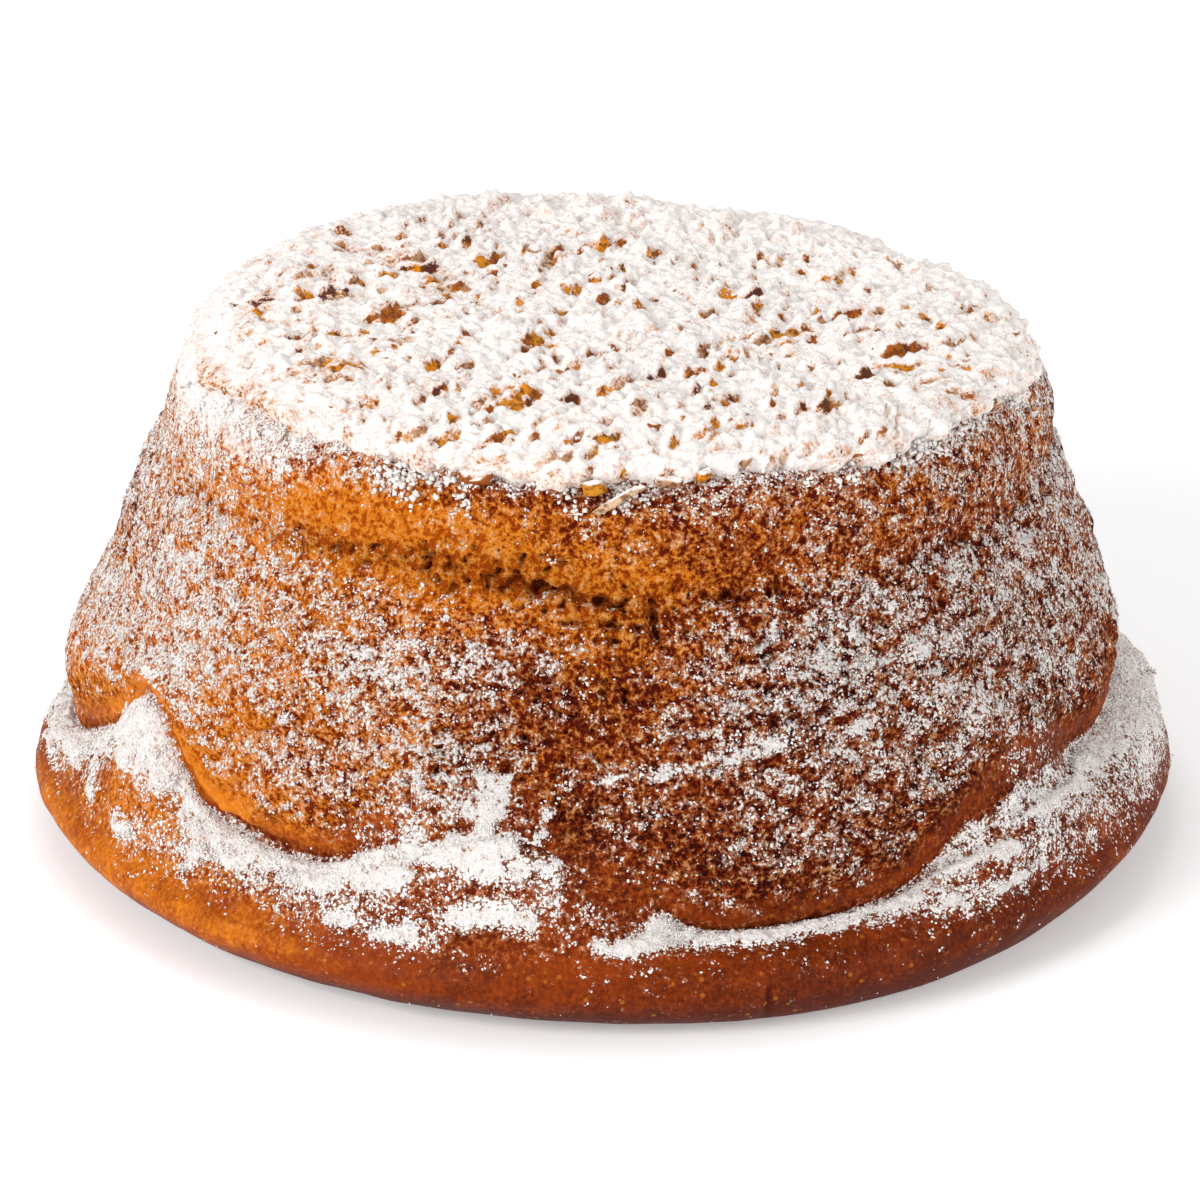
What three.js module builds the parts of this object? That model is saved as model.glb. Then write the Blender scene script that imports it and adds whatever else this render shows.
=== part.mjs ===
import * as THREE from 'three';
import { ParametricGeometry } from 'three/addons/geometries/ParametricGeometry.js';
import { mergeVertices } from 'three/addons/utils/BufferGeometryUtils.js';

// An offella cake: a tall leavened cake that stands on a wide brim. Its soft wall is pinched into
// lobes, a steep collar rises above it, and the top is wide and nearly flat.
// Millimetres, +Z up. Angles are degrees about the axis, from the front (-Y) towards the right (+X).

// Driving dimensions
const cakeHeight = 105;
const brimRadius = 116;
const footRadius = 99;
const wallFootRadius = 107.2;
const waistRadius = 103.2;
const collarFootRadius = 93.9;
const collarRadius = 91.3;
const topRadius = 88.8;
const footFlatShare = 0.7;

// Heights of the outline above the surface that the cake stands on
const brimLowHeight = 3.4;
const brimWidestHeight = 9;
const brimFaceHeight = 13;
const brimShoulderHeight = 15;
const ledgeHeight = 17;
const waistHeight = 54;
const upperWallHeight = 66;
const collarFootHeight = 78;
const collarLowHeight = 82.5;
const collarMidHeight = 91;
const overhangHeight = 4;
const shoulderClimb = 0.06;
const topEdgeDrop = 5;
const topShoulderDrop = 0.8;
const topCrown = 1.4;

// How far in or out each point of the outline lies from the brim's, the wall's or the collar's radius
const inset = {
	brimLow: 6.5,
	brimWidest: 0.5,
	brimFace: 0.9,
	brimShoulder: 3.6,
	ledge: 1.2,
	groove: 2.5,
	wallFoot: 0.8,
	belly: 0.2,
	upperWall: 4.3,
	collarFoot: 2.6,
	collarLow: 0.7,
	topShoulder: 4.3,
	topFlat: 16.8,
};

// The creases that pinch the wall: how deep each is at the wall's foot and at the top, how wide it is
// in degrees, and how far the ledge climbs into it and over how many degrees
const creases = [
	{ angle: - 134, footDepth: 5, topDepth: 1, width: 15, climb: 10, climbWidth: 13 },
	{ angle: - 71, footDepth: 5.5, topDepth: 0.6, width: 11, climb: 10, climbWidth: 10 },
	{ angle: - 8.5, footDepth: 5.5, topDepth: 0.8, width: 11, climb: 27, climbWidth: 9 },
	{ angle: 62, footDepth: 4, topDepth: 1, width: 13, climb: 4, climbWidth: 15 },
	{ angle: 125, footDepth: 6, topDepth: 8, width: 9, climb: 8, climbWidth: 11 },
	{ angle: 165, footDepth: 5, topDepth: 6, width: 10, climb: 8, climbWidth: 11 },
];
const creaseSharpness = 1.4;

// How much of a crease's depth at the foot, and of its depth at the top, each point takes
const creaseShare = {
	ledge: [ 0.6, 0 ],
	groove: [ 1, 0 ],
	belly: [ 0.9, 0 ],
	waist: [ 0.6, 0.2 ],
	upperWall: [ 0.4, 0.4 ],
	collarFoot: [ 0.2, 0.5 ],
	collarLow: [ 0, 0.8 ],
	collarMid: [ 0, 1 ],
	topFlat: [ 0, 0.7 ],
};

// Slow swells of one size round the cake: more millimetres at an angle, fading over a width
const brimSwells = [
	{ angle: - 88, more: 2.2, width: 30 },
	{ angle: 96, more: 1.6, width: 40 },
];
const ledgeSwells = [
	{ angle: - 59, more: 22, width: 8 },
	{ angle: - 42, more: 9, width: 17 },
	{ angle: - 19, more: 14.5, width: 9.5 },
	{ angle: 49, more: 12, width: 12 },
	{ angle: 100, more: 12, width: 40 },
	{ angle: 180, more: 5, width: 50 },
];
const wallFootSwells = [
	{ angle: - 92, more: 5.5, width: 24 },
	{ angle: - 40, more: - 1.5, width: 30 },
	{ angle: 95, more: - 1.2, width: 35 },
];
const brimSag = [ { angle: 28, more: 1.6, width: 28 } ];
const shoulderSwells = [ { angle: 102, more: 2.5, width: 34 } ];
const rightPull = [ { angle: 95, more: 1, width: 50 } ];
const roundedTop = [ { angle: - 98, more: 3.2, width: 40 } ];
const topDips = [
	{ angle: 122, more: - 2.5, width: 26 },
	{ angle: 165, more: - 1.5, width: 36 },
];
const topTilt = { angle: - 60, more: 1.5 };
const brimWave = { turns: 3, angle: - 7, more: 0.6 };

// Facets: columns round the cake, and rows from each point of the outline to the next
const columns = 100;
const rowsToNext = [ 1, 2, 2, 2, 1, 2, 2, 2, 2, 3, 3, 3, 2, 2, 2, 2, 2, 3, 4, 4, 3 ];

// Lumps of the crust and of the crumb on the top
const wallLumps = { depth: 0.7, from: brimShoulderHeight, fade: 6, round: 13, length: 27, inside: 80 };
const topLumps = { depth: 0.8, length: 27, inside: 80, fade: 12 };

const crust = new THREE.MeshStandardMaterial( { color: 0xb8764a, roughness: 0.78, metalness: 0 } );

// The angle from one direction to another, between 0 and 180
function angleBetween( angle, other ) {

	const turned = ( ( angle - other + 180 ) % 360 + 360 ) % 360;
	return Math.abs( turned - 180 );

}

function bell( angle, centre, width, power = 2 ) {

	return Math.exp( - ( ( angleBetween( angle, centre ) / width ) ** power ) );

}

function swell( swells, angle ) {

	return swells.reduce( ( sum, each ) => sum + each.more * bell( angle, each.angle, each.width ), 0 );

}

function wave( angle, { turns = 1, angle: crest, more } ) {

	return more * Math.cos( THREE.MathUtils.degToRad( turns * ( angle - crest ) ) );

}

// How deep the creases are at an angle, at the wall's foot or at the top
function creaseDepth( angle, end ) {

	return creases.reduce(
		( sum, crease ) => sum + crease[ end ] * bell( angle, crease.angle, crease.width, creaseSharpness ),
		0,
	);

}

function ledgeHeightAt( angle ) {

	const climb = creases.reduce(
		( sum, crease ) => sum + crease.climb * bell( angle, crease.angle, crease.climbWidth ),
		0,
	);
	return ledgeHeight + climb + swell( ledgeSwells, angle );

}

// How far the creases pinch one point of the outline in
function pinch( angle, point ) {

	const [ footShare, topShare ] = creaseShare[ point ];
	return footShare * creaseDepth( angle, 'footDepth' ) + topShare * creaseDepth( angle, 'topDepth' );

}

// The half outline at an angle, as [radius, height] points from the middle of the underside
// up to the middle of the top
function outlineAt( angle ) {

	const sag = swell( brimSag, angle );
	const full = swell( shoulderSwells, angle );
	const soft = swell( roundedTop, angle );
	const foot = footRadius + 2 * sag;
	const brim = brimRadius + swell( brimSwells, angle ) + wave( angle, brimWave );
	const wallFoot = wallFootRadius + swell( wallFootSwells, angle );
	const wall = waistRadius - swell( rightPull, angle );
	const collar = collarRadius - 0.8 * swell( rightPull, angle );
	const ledge = ledgeHeightAt( angle );
	const shoulder = brimShoulderHeight + shoulderClimb * ( ledge - brimShoulderHeight ) + full;
	const overhang = Math.min( overhangHeight, 0.25 * ( waistHeight - ledge ) );
	const top = cakeHeight + swell( topDips, angle ) + wave( angle, topTilt );

	return [
		[ 0, 0 ],
		[ footFlatShare * foot, 0 ],
		[ foot, 0 ],
		[ brim - inset.brimLow + sag, brimLowHeight - sag ],
		[ brim - inset.brimWidest, brimWidestHeight - 0.6 * sag ],
		[ brim - inset.brimFace, brimFaceHeight ],
		[ brim - inset.brimShoulder + 0.3 * full, shoulder ],
		[ ( brim + wallFoot ) / 2 - inset.ledge - pinch( angle, 'ledge' ) + full, ( shoulder + ledge + full ) / 2 ],
		[ wallFoot - inset.groove - pinch( angle, 'groove' ), ledge ],
		[ wallFoot - inset.wallFoot - pinch( angle, 'groove' ), ledge + overhang ],
		[ wallFoot - inset.belly - pinch( angle, 'belly' ), ( ledge + waistHeight ) / 2 ],
		[ wall - pinch( angle, 'waist' ), waistHeight ],
		[ wall - inset.upperWall - pinch( angle, 'upperWall' ), upperWallHeight ],
		[ collar + inset.collarFoot - pinch( angle, 'collarFoot' ), collarFootHeight ],
		[ collar + inset.collarLow - pinch( angle, 'collarLow' ) - 0.4 * soft, collarLowHeight ],
		[ collar - pinch( angle, 'collarMid' ) - 0.8 * soft, collarMidHeight ],
		[ topRadius - pinch( angle, 'collarMid' ) - soft, top - topEdgeDrop ],
		[ topRadius - inset.topShoulder - pinch( angle, 'collarMid' ) - 1.5 * soft, top - topShoulderDrop ],
		[ topRadius - inset.topFlat - pinch( angle, 'topFlat' ), top + topCrown ],
		[ topRadius / 2, top + topCrown ],
		[ topRadius / 4, cakeHeight + topCrown ],
		[ 0, cakeHeight + topCrown ],
	];

}

// The place on the outline's curve, from 0 to 1, of each row of facets
function rowPlaces() {

	const places = [ 0 ];
	rowsToNext.forEach( ( rows, span ) => {

		for ( let row = 1; row <= rows; row ++ ) places.push( ( span + row / rows ) / rowsToNext.length );

	} );
	return places;

}

// How far the crust stands out from the smooth outline, in soft uneven lumps
function wallLump( angle, radius, height ) {

	const turn = THREE.MathUtils.degToRad( angle );
	const above = THREE.MathUtils.clamp( ( height - wallLumps.from ) / wallLumps.fade, 0, 1 );
	const outside = THREE.MathUtils.clamp( radius / wallLumps.inside, 0, 1 ) ** 4;
	const rise = 2 * Math.PI / wallLumps.length * height;
	const bumps = Math.sin( wallLumps.round * turn + 2 * Math.sin( 0.4 * rise ) )
		* Math.sin( rise + 2 * Math.sin( 3 * turn ) + Math.sin( 7 * turn ) );
	return wallLumps.depth * above * outside * bumps;

}

// How far the crumb stands up from the smooth top
function topLump( x, y, radius ) {

	const inside = THREE.MathUtils.clamp( ( topLumps.inside - radius ) / topLumps.fade, 0, 1 );
	const step = 2 * Math.PI / topLumps.length;
	const bumps = Math.sin( step * x + 1.5 * Math.sin( 0.6 * step * y ) )
		* Math.cos( step * y + 1.5 * Math.sin( 0.5 * step * x + 1 ) );
	return topLumps.depth * inside * bumps;

}

function cakeGeometry() {

	const places = rowPlaces();
	const rows = places.length - 1;
	const outlines = Array.from( { length: columns }, ( unused, column ) => {

		const points = outlineAt( column / columns * 360 - 180 );
		return new THREE.SplineCurve( points.map( ( [ radius, height ] ) => new THREE.Vector2( radius, height ) ) );

	} );

	const onSurface = ( across, up, target ) => {

		const column = Math.round( across * columns ) % columns;
		const place = places[ Math.round( up * rows ) ];
		const angle = column / columns * 360 - 180;
		const turn = THREE.MathUtils.degToRad( angle );
		const point = outlines[ column ].getPoint( place );
		const onAxis = place === 0 || place === 1;
		const radius = onAxis ? 0 : point.x + wallLump( angle, point.x, point.y );
		target.set( radius * Math.sin( turn ), - radius * Math.cos( turn ), Math.max( point.y, 0 ) );
		if ( point.y > collarMidHeight ) target.z += topLump( target.x, target.y, radius );

	};

	const geometry = new ParametricGeometry( onSurface, columns, rows );
	geometry.deleteAttribute( 'normal' );
	geometry.deleteAttribute( 'uv' );
	return mergeVertices( geometry );

}

// The cake, with the middle of its footprint on the axis
function makeCake() {

	const geometry = cakeGeometry();
	geometry.computeBoundingBox();
	const middle = geometry.boundingBox.getCenter( new THREE.Vector3() );
	geometry.translate( - middle.x, - middle.y, 0 );
	geometry.computeVertexNormals();
	const cake = new THREE.Mesh( geometry, crust );
	cake.name = 'cake';
	return cake;

}

const offella = new THREE.Group();
offella.add( makeCake() );

export default offella;
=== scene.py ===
import math

import bmesh
import bpy
import numpy as np
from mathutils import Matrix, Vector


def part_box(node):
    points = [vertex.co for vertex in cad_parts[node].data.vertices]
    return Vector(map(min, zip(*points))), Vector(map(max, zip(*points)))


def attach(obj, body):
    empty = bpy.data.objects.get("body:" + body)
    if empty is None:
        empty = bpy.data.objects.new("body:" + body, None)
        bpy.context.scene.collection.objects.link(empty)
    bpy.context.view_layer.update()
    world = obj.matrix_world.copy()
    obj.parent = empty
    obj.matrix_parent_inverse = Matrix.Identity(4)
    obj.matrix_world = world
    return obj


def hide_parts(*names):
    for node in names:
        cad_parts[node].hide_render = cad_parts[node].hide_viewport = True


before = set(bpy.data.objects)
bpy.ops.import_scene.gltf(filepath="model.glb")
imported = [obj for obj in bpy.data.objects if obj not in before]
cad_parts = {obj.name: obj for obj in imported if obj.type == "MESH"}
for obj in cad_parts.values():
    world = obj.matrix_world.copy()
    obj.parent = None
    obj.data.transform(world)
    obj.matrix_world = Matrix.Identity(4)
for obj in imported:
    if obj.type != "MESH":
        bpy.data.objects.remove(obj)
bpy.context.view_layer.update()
print("frame loaded")

# The cake's own sizes, in millimetres; angles are degrees from the front, growing to the right
cakeShape = {
    "height": 105.0, "brim": 116.0, "foot": 99.0, "footFlat": 0.7, "wallFoot": 107.2, "waist": 103.2,
    "collar": 91.3, "top": 88.8, "brimLowHeight": 3.4, "brimWidestHeight": 9.0, "brimFaceHeight": 13.0,
    "shoulderHeight": 15.0, "shoulderClimb": 0.06, "ledgeHeight": 17.0, "waistHeight": 54.0,
    "upperWallHeight": 66.0, "collarFootHeight": 78.0, "collarLowHeight": 82.5, "collarMidHeight": 91.0,
    "overhang": 4.0, "topEdgeDrop": 5.0, "topShoulderDrop": 0.8, "crown": 1.4,
}
outlineInset = {
    "brimLow": 6.5, "brimWidest": 0.5, "brimFace": 0.9, "brimShoulder": 3.6, "ledge": 1.2, "groove": 2.5,
    "wallFoot": 0.8, "belly": 0.2, "upperWall": 4.3, "collarFoot": 2.6, "collarLow": 0.7,
    "topShoulder": 4.3, "topFlat": 16.8,
}
# angle, depth at the wall's foot, depth at the top, width, how far the ledge climbs, over what width
cakeCreases = [
    (-134, 5.0, 1.0, 15, 10, 13),
    (-71, 5.5, 0.6, 11, 10, 10),
    (-8.5, 5.5, 0.8, 11, 27, 9),
    (62, 4.0, 1.0, 13, 4, 15),
    (125, 6.0, 8.0, 9, 8, 11),
    (165, 5.0, 6.0, 10, 8, 11),
]
creaseSharpness = 1.4
creaseShare = {  # how much of the foot's and of the top's crease each point of the outline takes
    "ledge": (0.6, 0), "groove": (1, 0), "belly": (0.9, 0), "waist": (0.6, 0.2), "upperWall": (0.4, 0.4),
    "collarFoot": (0.2, 0.5), "collarLow": (0, 0.8), "collarMid": (0, 1), "topFlat": (0, 0.7),
}
cakeSwells = {  # angle, how much more, width
    "brim": [(-88, 2.2, 30), (96, 1.6, 40)],
    "ledge": [(-59, 22, 8), (-42, 9, 17), (-19, 14.5, 9.5), (49, 12, 12), (100, 12, 40), (180, 5, 50)],
    "wallFoot": [(-92, 5.5, 24), (-40, -1.5, 30), (95, -1.2, 35)],
    "sag": [(28, 1.6, 28)],
    "shoulder": [(102, 2.5, 34)],
    "pull": [(95, 1, 50)],
    "roundedTop": [(-98, 3.2, 40)],
    "topDip": [(122, -2.5, 26), (165, -1.5, 36)],
}
topTilt = (-60, 1.5)  # the top is highest towards this angle, by this much
brimWave = (3, -7, 0.6)  # waves round the brim, the angle of one crest, height
outlineSteps = 21
outlineMarks = {  # places along the outline, counted in steps from one of its points to the next
    "skinStart": 1.9, "brimEdge": 4.3, "ledgeRise": 6.4, "brimEnd": 6.5, "ledge": 7, "ledgeBack": 8.4,
    "ledgeEnd": 9.5, "sugarEnd": 10.1, "waist": 11, "crumbEnd": 16.0, "topRim": 17.0, "skinEnd": 17.6,
}


# Soft shapes and noise

def between(value, low, high):  # 0 below low, 1 above high, eased in between
    part = np.clip((value - low) / (high - low), 0, 1)
    return part * part * (3 - 2 * part)


def bell(angle, centre, width, power=2):
    return np.exp(-(np.abs((angle - centre + 180) % 360 - 180) / width) ** power)


def bells(angle, rows, power=2):
    return sum(more * bell(angle, centre, width, power) for centre, more, width in rows)


def hump(value, centre, width):
    return np.exp(-((value - centre) / width) ** 2)


def hashed(cell, seed, channel=0):  # one random number in 0..1 for each cell
    key = cell[..., 0] * 73856093 ^ cell[..., 1] * 19349663 ^ cell[..., 2] * 83492791
    key = (key + seed * 7919 + channel * 104729) & 0xFFFFFFFF
    key = ((key ^ (key >> 15)) * 2246822519) & 0xFFFFFFFF
    key = ((key ^ (key >> 13)) * 3266489917) & 0xFFFFFFFF
    return ((key ^ (key >> 16)) & 0xFFFFFF) / 0xFFFFFF


slopeTable = np.random.default_rng(5).normal(size=(256, 3))
slopeTable /= np.linalg.norm(slopeTable, axis=1, keepdims=True)


def noise(spots, size, seed):  # gentle bumps in about -1..1, one to each size
    spots = spots / size
    corner = np.floor(spots).astype(np.int64)
    part = spots - corner
    ease = part ** 3 * (part * (part * 6 - 15) + 10)
    total = np.zeros(spots.shape[:-1])
    for step in np.ndindex(2, 2, 2):
        slope = slopeTable[(hashed(corner + step, seed) * 255).astype(int)]
        weight = np.prod(np.where(step, ease, 1 - ease), axis=-1)
        total += weight * np.sum((part - step) * slope, axis=-1)
    return total * 1.7


# The cake's surface, as the frame has it

def swell(name, angle):
    return bells(angle, cakeSwells[name])


def pinch(angle, point):
    footShare, topShare = creaseShare[point]
    return sum(
        (footShare * foot + topShare * top) * bell(angle, centre, width, creaseSharpness)
        for centre, foot, top, width, climb, climbWidth in cakeCreases
    )


def grooveHeight(angle):
    climb = sum(c[4] * bell(angle, c[0], c[5]) for c in cakeCreases)
    return cakeShape["ledgeHeight"] + climb + swell("ledge", angle)


def grooveRadius(angle):
    return cakeShape["wallFoot"] + swell("wallFoot", angle) - outlineInset["groove"] - pinch(angle, "groove")


def outlineAt(angle):  # [point, spot, radius and height] from the underside's middle to the top's
    size, inset = cakeShape, outlineInset
    one = np.ones_like(angle)
    sag, full, soft = swell("sag", angle), swell("shoulder", angle), swell("roundedTop", angle)
    foot = size["foot"] + 2 * sag
    brim = size["brim"] + swell("brim", angle)
    brim = brim + brimWave[2] * np.cos(np.radians(brimWave[0] * (angle - brimWave[1])))
    wallFoot = size["wallFoot"] + swell("wallFoot", angle)
    wall = size["waist"] - swell("pull", angle)
    collar = size["collar"] - 0.8 * swell("pull", angle)
    ledge = grooveHeight(angle)
    halfway = (brim + wallFoot) / 2
    shoulder = size["shoulderHeight"] + size["shoulderClimb"] * (ledge - size["shoulderHeight"]) + full
    overhang = np.minimum(size["overhang"], 0.25 * (size["waistHeight"] - ledge))
    top = size["height"] + swell("topDip", angle) + topTilt[1] * np.cos(np.radians(angle - topTilt[0]))
    groovePinch, topPinch = pinch(angle, "groove"), pinch(angle, "collarMid")
    points = [
        (0 * one, 0 * one),
        (size["footFlat"] * foot, 0 * one),
        (foot, 0 * one),
        (brim - inset["brimLow"] + sag, size["brimLowHeight"] - sag),
        (brim - inset["brimWidest"], size["brimWidestHeight"] - 0.6 * sag),
        (brim - inset["brimFace"], size["brimFaceHeight"] * one),
        (brim - inset["brimShoulder"] + 0.3 * full, shoulder),
        (halfway - inset["ledge"] - pinch(angle, "ledge") + full, (shoulder + ledge + full) / 2),
        (wallFoot - inset["groove"] - groovePinch, ledge),
        (wallFoot - inset["wallFoot"] - groovePinch, ledge + overhang),
        (wallFoot - inset["belly"] - pinch(angle, "belly"), (ledge + size["waistHeight"]) / 2),
        (wall - pinch(angle, "waist"), size["waistHeight"] * one),
        (wall - inset["upperWall"] - pinch(angle, "upperWall"), size["upperWallHeight"] * one),
        (collar + inset["collarFoot"] - pinch(angle, "collarFoot"), size["collarFootHeight"] * one),
        (collar + inset["collarLow"] - pinch(angle, "collarLow") - 0.4 * soft,
         size["collarLowHeight"] * one),
        (collar - topPinch - 0.8 * soft, size["collarMidHeight"] * one),
        (size["top"] - topPinch - soft, top - size["topEdgeDrop"]),
        (size["top"] - inset["topShoulder"] - topPinch - 1.5 * soft, top - size["topShoulderDrop"]),
        (size["top"] - inset["topFlat"] - pinch(angle, "topFlat"), top + size["crown"]),
        (size["top"] / 2 * one, top + size["crown"]),
        (size["top"] / 4 * one, (size["height"] + size["crown"]) * one),
        (0 * one, (size["height"] + size["crown"]) * one),
    ]
    return np.stack([np.stack(p, axis=-1) for p in points])


def placeOf(mark):
    return outlineMarks[mark] / outlineSteps


def onOutline(angle, place):  # radius and height at a place from 0 to 1 along the outline
    points = outlineAt(angle)
    last = len(points) - 1
    start = np.minimum((place * last).astype(int), last - 1)
    part = (place * last - start)[:, None]
    spot = np.arange(len(angle))
    before, here, after, beyond = (points[np.clip(start + k, 0, last), spot] for k in (-1, 0, 1, 2))
    leave, arrive = (after - before) / 2, (beyond - here) / 2
    curve = (2 * here - 2 * after + leave + arrive) * part ** 3
    curve += (-3 * here + 3 * after - 2 * leave - arrive) * part ** 2 + leave * part + here
    return np.maximum(curve, 0)


def runLength(line):  # how far along a line each of its spots lies
    return np.concatenate([[0], np.cumsum(np.linalg.norm(np.diff(line, axis=0), axis=1))])


def roundCake(angle, radius, height):
    turn = np.radians(angle)
    return np.stack([radius * np.sin(turn), -radius * np.cos(turn), height], axis=-1)


def turnOf(spots):  # the angle at which each spot lies
    return np.degrees(np.arctan2(spots[..., 0], -spots[..., 1]))


def cakeMiddle():  # how far the footprint's middle lies from the axis that the angles turn about
    angle = np.linspace(-180, 180, 721)
    edge = roundCake(angle, *onOutline(angle, np.full(len(angle), placeOf("brimEdge"))).T)
    return np.append((edge[:, :2].max(0) + edge[:, :2].min(0)) / 2, 0)


low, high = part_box("cake")
frameMiddle = np.array([(low.x + high.x) / 2, (low.y + high.y) / 2, low.z]) * 1000
cakeShift = frameMiddle - cakeMiddle()


def outwards(spots):  # unit normals of a grid of spots, rows by columns
    across = np.roll(spots, -1, axis=1) - np.roll(spots, 1, axis=1)
    up = np.gradient(spots, axis=0)
    normal = np.cross(across, up)
    return normal / np.maximum(np.linalg.norm(normal, axis=-1, keepdims=True), 1e-9)


# Mesh helpers

def newPiece(name, spots, faces, material):  # spots in millimetres about the cake's own axis
    mesh = bpy.data.meshes.new(name)
    mesh.from_pydata(((spots + cakeShift) * 0.001).tolist(), [], faces.tolist())
    mesh.shade_smooth()
    mesh.materials.append(material)
    piece = bpy.data.objects.new(name, mesh)
    bpy.context.scene.collection.objects.link(piece)
    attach(piece, "root")
    return piece


def writeValues(piece, **values):
    for name, value in values.items():
        layer = piece.data.attributes.new(name, "FLOAT", "POINT")
        layer.data.foreach_set("value", np.ascontiguousarray(value, dtype=np.float32))


def writeTint(piece, colours):
    layer = piece.data.attributes.new("bitTint", "FLOAT_COLOR", "POINT")
    filled = np.concatenate([colours, np.ones((len(colours), 1))], axis=1)
    layer.data.foreach_set("color", np.ascontiguousarray(filled.ravel(), dtype=np.float32))


def applyModifiers(piece):
    graph = bpy.context.evaluated_depsgraph_get()
    done = bpy.data.meshes.new_from_object(piece.evaluated_get(graph))
    piece.modifiers.clear()
    piece.data = done


def vertexSpots(piece):
    spots = np.empty(len(piece.data.vertices) * 3)
    piece.data.vertices.foreach_get("co", spots)
    return spots.reshape(-1, 3) * 1000 - cakeShift


def vertexNormals(piece):
    normals = np.empty(len(piece.data.vertices) * 3, dtype=np.float32)
    piece.data.vertex_normals.foreach_get("vector", normals)
    return normals.reshape(-1, 3)


# Where the icing sugar lies

sugarFall = {
    # angle, how far the thick sugar reaches out over the ledge, how thick it is
    "ledge": [
        (-180, 9, 1.2), (-150, 8, 1.0), (-120, 9, 1.2), (-100, 10, 1.4), (-84, 9, 1.5), (-72, 9, 1.5),
        (-64, 15, 1.5), (-57, 19, 1.4), (-50, 10, 1.5), (-42, 6.5, 1.5), (-33, 8, 1.5), (-25, 11, 1.5),
        (-16, 20, 1.0), (-9, 21, 0.9), (-4, 12, 1.0), (1, 8, 1.3), (6, 4, 1.3), (15, 3.5, 1.5),
        (26, 3.5, 1.5), (34, 6, 1.3), (42, 11, 1.4), (50, 14, 1.6), (60, 13, 1.2), (72, 12, 0.8),
        (95, 13, 0.6), (115, 9, 0.9), (150, 9, 1.2), (180, 9, 1.2),
    ],
    # angle, height, width in degrees, width in height, more or less of it
    "ledgePatches": [
        (-60, 25, 6.5, 3.4, -2.2), (-52, 26, 3, 3, -0.8), (-64, 20.6, 4, 0.9, 1.3),
        (-57, 19.4, 4, 0.9, 1.3), (-76, 20, 4, 1.4, 0.6), (-1.4, 38, 2.2, 9, -2.2),
        (-6.2, 41, 2.8, 5, -2.6), (-1.5, 30, 2.2, 3, -0.8), (-14, 28, 5, 1.5, -1.7),
        (-20, 24, 4, 1.8, -1.2), (-13, 20.6, 6, 1, -1.2), (-30, 20, 4, 1.6, -0.5),
        (-19, 31, 4, 1.2, -0.7), (-13, 41, 6, 5, 0.3), (-12, 24, 8, 1.3, 0.9), (-12, 18.4, 9, 0.8, 0.7),
        (3, 27, 5, 5, -2.4), (3, 18.4, 5, 1.3, 1.7), (-25, 18.3, 5, 0.9, 0.5), (-14, 46, 6, 3, 0.5),
        (-8, 50.5, 3, 2.6, -1.8), (4.5, 23.6, 3.5, 3.4, -2.4), (47, 25.5, 2.2, 1.6, -1),
        (54, 24, 4, 2.4, -1), (41, 20.5, 5, 1.6, -1.2), (38, 23, 3, 1.6, 0.6), (50, 30, 5, 2, 0.6),
        (66, 21, 8, 3, -0.9), (-78, 17.5, 7, 2, -0.6), (44, 17.6, 7, 0.8, 0.5),
        (140, 22, 8, 3, -0.7), (-125, 24, 8, 3, -0.7), (170, 19, 6, 2, -0.6),
    ],
    # angle, height, width in degrees, width in height, more dust
    "wall": [
        (-34, 90, 15, 8, -0.44), (-12, 85, 18, 8, -0.36), (-20, 78, 22, 5, -0.20), (8, 84, 14, 8, -0.42),
        (36, 82, 14, 4, -0.18), (56, 84, 9, 3, -0.12), (1, 70, 8, 11, -0.32), (-6, 98, 24, 6, -0.34),
        (30, 93, 24, 8, -0.18), (2, 58, 13, 12, -0.28), (-70, 102, 26, 4, 0.10), (-44, 97, 2.5, 6, 0.40),
        (-66, 88, 16, 10, 0.10), (-64, 60, 20, 22, 0.12), (46, 66, 22, 12, 0.05), (24, 60, 10, 9, 0.07),
        (-20, 62, 10, 11, 0.04), (-40, 56, 8, 12, -0.10), (-4, 55, 6, 7, -0.22), (2, 40, 9, 8, -0.18),
        (16, 34, 14, 8, -0.06), (90, 62, 14, 30, 0.06), (78, 38, 6, 9, -0.45), (-30, 40, 9, 7, 0.10),
        (140, 84, 20, 8, -0.2), (-150, 86, 25, 9, -0.25), (110, 60, 20, 15, 0.1), (-120, 60, 25, 15, 0.08),
        (178, 55, 20, 14, -0.15), (-13, 50.5, 8, 3, 0.10),
    ],
    # angle, how high above the groove the bare skin reaches, width in degrees
    "bareFoot": [
        (-48, 11, 7), (-38, 9, 6), (-3, 7, 3), (9, 6, 5), (28, 6, 10), (39, 11, 6), (68, 9, 7),
        (130, 8, 14), (-110, 8, 12), (-76, 8, 5),
    ],
    # angle, more dust on the brim's face, width
    "brim": [(98, 0.42, 28), (-92, 0.16, 16), (60, 0.08, 14)],
    # a small ledge on the wall that caught a line of sugar: angle, height
    "wallLine": [(-4, 46.5), (0, 48.5), (4, 50.5), (9, 51.5), (14, 52.5), (18, 54.5)],
    "wallLineDepth": 1.3,
    # where the groove is closed: angle, how far, width
    "filled": [(-10, 1.2, 15), (50, 0.55, 12)],
    # the thick sugar's own edge: size and depth of its lobes and of its fray
    "lobes": (6.5, 0.55), "fray": (2.6, 0.48),
    # the bare strip behind it: angle, how wide, width
    "bareStrip": [(51, 3.6, 12)],
    # the heap at the front: where it starts to climb, how high, the size and depth of its edge
    "heap": {"from": -18, "to": -12, "foot": 2, "climb": 3, "edge": 4, "edgeDepth": 2.2, "fade": 2.5},
    # sugar that slid over the rim at the left: angle, width, the heights it lies between, how much
    "slid": (-84, 34, 80, 97, 0.22),
}


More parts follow.
